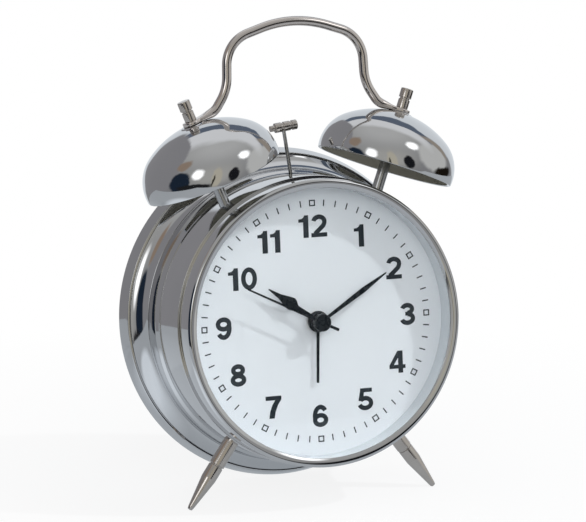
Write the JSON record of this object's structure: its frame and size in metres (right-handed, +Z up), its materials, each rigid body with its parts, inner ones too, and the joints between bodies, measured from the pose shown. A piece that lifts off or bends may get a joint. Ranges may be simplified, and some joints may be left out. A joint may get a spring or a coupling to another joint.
{
  "type": "alarm clock",
  "caption": "Free-standing analog alarm clock with a round chromed metal case, bells on top with a hammer between them, a bent-rod carrying handle, splayed legs and a white numbered dial.",
  "frame": {"origin": "middle of the overall box, on the table surface under the leg tips and the rear cover edge", "axes": "+X to the right as seen from the dial side, +Y to the back of the clock, +Z up; the dial faces -Y and leans back"},
  "size_m": [0.1158, 0.0652, 0.1644],
  "materials": {
    "chrome": "mirror-polished chrome plate",
    "satin_nickel": "satin nickel plate",
    "steel": "bright drawn steel",
    "soft_iron": "plain soft iron",
    "magnet": "dark sintered magnet",
    "copper_wire": "enamelled copper winding",
    "glass": "clear flat glass",
    "dial_white": "satin white print",
    "ring_grey": "light grey moulded ring",
    "hand_black": "black lacquer",
    "grey_plastic": "moulded plastic",
    "black_plastic": "fine-grained black plastic",
    "white_plastic": "moulded plastic",
    "brass": "turned brass",
    "board_green": "lacquered board",
    "cell_jacket": "plain wrapped cell"
  },
  "bodies": {
    "clock": {"case_shell": "chrome", "bezel": "chrome", "bell_left": "chrome", "bell_right": "chrome", "rear_cover": "chrome", "handle": "satin_nickel", "finial_left": "satin_nickel", "finial_right": "satin_nickel", "leg_left": "satin_nickel", "leg_right": "satin_nickel", "post_left": "steel", "post_right": "steel", "post_nuts": "steel", "leg_nuts": "steel", "hammer_pin": "steel", "hammer_clip": "steel", "hammer_spring": "steel", "ringer_bracket": "steel", "cover_screws": "steel", "carrier_screws": "steel", "battery_contacts": "steel", "ringer_core": "soft_iron", "stator": "soft_iron", "ringer_coil": "copper_wire", "drive_coil": "copper_wire", "glass": "glass", "dial": "dial_white", "inner_ring": "ring_grey", "carrier_plate": "grey_plastic", "battery_box": "black_plastic", "movement_front": "white_plastic", "movement_back": "white_plastic", "circuit_board": "board_green", "cell_upper": "cell_jacket", "cell_lower": "cell_jacket"},
    "hammer": {"hammer_head": "satin_nickel", "hammer_rod": "steel", "hammer_lever": "steel", "armature": "soft_iron"},
    "seconds": {"seconds_wheel": "brass", "second_hand": "hand_black"},
    "third": {"third_wheel": "brass"},
    "centre": {"centre_wheel": "brass"},
    "step": {"step_wheel": "brass"},
    "rotor": {"rotor": "magnet"},
    "minute": {"minute_pipe": "brass", "clutch_spring": "steel", "minute_hand": "hand_black"},
    "motion": {"motion_wheel": "brass"},
    "hour": {"hour_wheel": "brass", "hour_hand": "hand_black"},
    "setter": {"setting_arbor": "brass", "time_knob": "black_plastic"},
    "alarm": {"alarm_wheel": "brass", "alarm_hand": "hand_black"},
    "alarm_setter": {"alarm_arbor": "brass", "alarm_knob": "black_plastic"},
    "switch": {"alarm_switch": "black_plastic"},
    "door": {"battery_door": "black_plastic"}
  },
  "joints": [
    {"name": "second_spin", "type": "hinge", "parent": "clock", "child": "seconds", "pos_m": [0, -0.01607, 0.0632], "axis": [0, 0.9889, -0.1485], "continuous": true},
    {"name": "third_spin", "type": "hinge", "parent": "clock", "child": "third", "pos_m": [-0.00177, -0.01457, 0.07313], "axis": [0, 0.9889, -0.1485], "continuous": true},
    {"name": "centre_spin", "type": "hinge", "parent": "clock", "child": "centre", "pos_m": [0, -0.01607, 0.0632], "axis": [0, 0.9889, -0.1485], "continuous": true},
    {"name": "step_spin", "type": "hinge", "parent": "clock", "child": "step", "pos_m": [0.00885, -0.01515, 0.06932], "axis": [0, 0.9889, -0.1485], "continuous": true},
    {"name": "rotor_spin", "type": "hinge", "parent": "clock", "child": "rotor", "pos_m": [0.01612, -0.01577, 0.06517], "axis": [0, 0.9889, -0.1485], "continuous": true},
    {"name": "minute_spin", "type": "hinge", "parent": "clock", "child": "minute", "pos_m": [0, -0.01607, 0.0632], "axis": [0, 0.9889, -0.1485], "continuous": true},
    {"name": "motion_spin", "type": "hinge", "parent": "clock", "child": "motion", "pos_m": [-0.01, -0.01607, 0.0632], "axis": [0, 0.9889, -0.1485], "continuous": true},
    {"name": "hour_spin", "type": "hinge", "parent": "clock", "child": "hour", "pos_m": [0, -0.01607, 0.0632], "axis": [0, 0.9889, -0.1485], "continuous": true},
    {"name": "setter_spin", "type": "hinge", "parent": "clock", "child": "setter", "pos_m": [-0.01675, -0.01726, 0.05524], "axis": [0, 0.9889, -0.1485], "continuous": true},
    {"name": "alarm_spin", "type": "hinge", "parent": "clock", "child": "alarm", "pos_m": [0, -0.01607, 0.0632], "axis": [0, 0.9889, -0.1485], "continuous": true},
    {"name": "alarm_setter_spin", "type": "hinge", "parent": "clock", "child": "alarm_setter", "pos_m": [0.00694, -0.01729, 0.05502], "axis": [0, 0.9889, -0.1485], "continuous": true},
    {"name": "hammer_swing", "type": "hinge", "parent": "clock", "child": "hammer", "pos_m": [0, 0.00768, 0.10413], "axis": [0, 0.9889, -0.1485], "range_deg": [-9.8, 23.4], "stiffness_Nm_per_rad": 0.01},
    {"name": "switch_slide", "type": "slide", "parent": "clock", "child": "switch", "axis": [1, 0, 0], "range_m": [0, 0.006]},
    {"name": "door_hinge", "type": "hinge", "parent": "clock", "child": "door", "pos_m": [0, 0.01703, 0.01556], "axis": [-1, 0, 0], "range_deg": [0, 95]}
  ],
  "couplings": [
    {"joint": "third_spin", "follows": "second_spin", "ratio": -0.13333},
    {"joint": "centre_spin", "follows": "second_spin", "ratio": 0.016667},
    {"joint": "step_spin", "follows": "second_spin", "ratio": -5},
    {"joint": "rotor_spin", "follows": "second_spin", "ratio": 30},
    {"joint": "motion_spin", "follows": "minute_spin", "ratio": -0.33333},
    {"joint": "hour_spin", "follows": "minute_spin", "ratio": 0.083333},
    {"joint": "setter_spin", "follows": "minute_spin", "ratio": 0.83333},
    {"joint": "alarm_setter_spin", "follows": "alarm_spin", "ratio": -3}
  ]
}
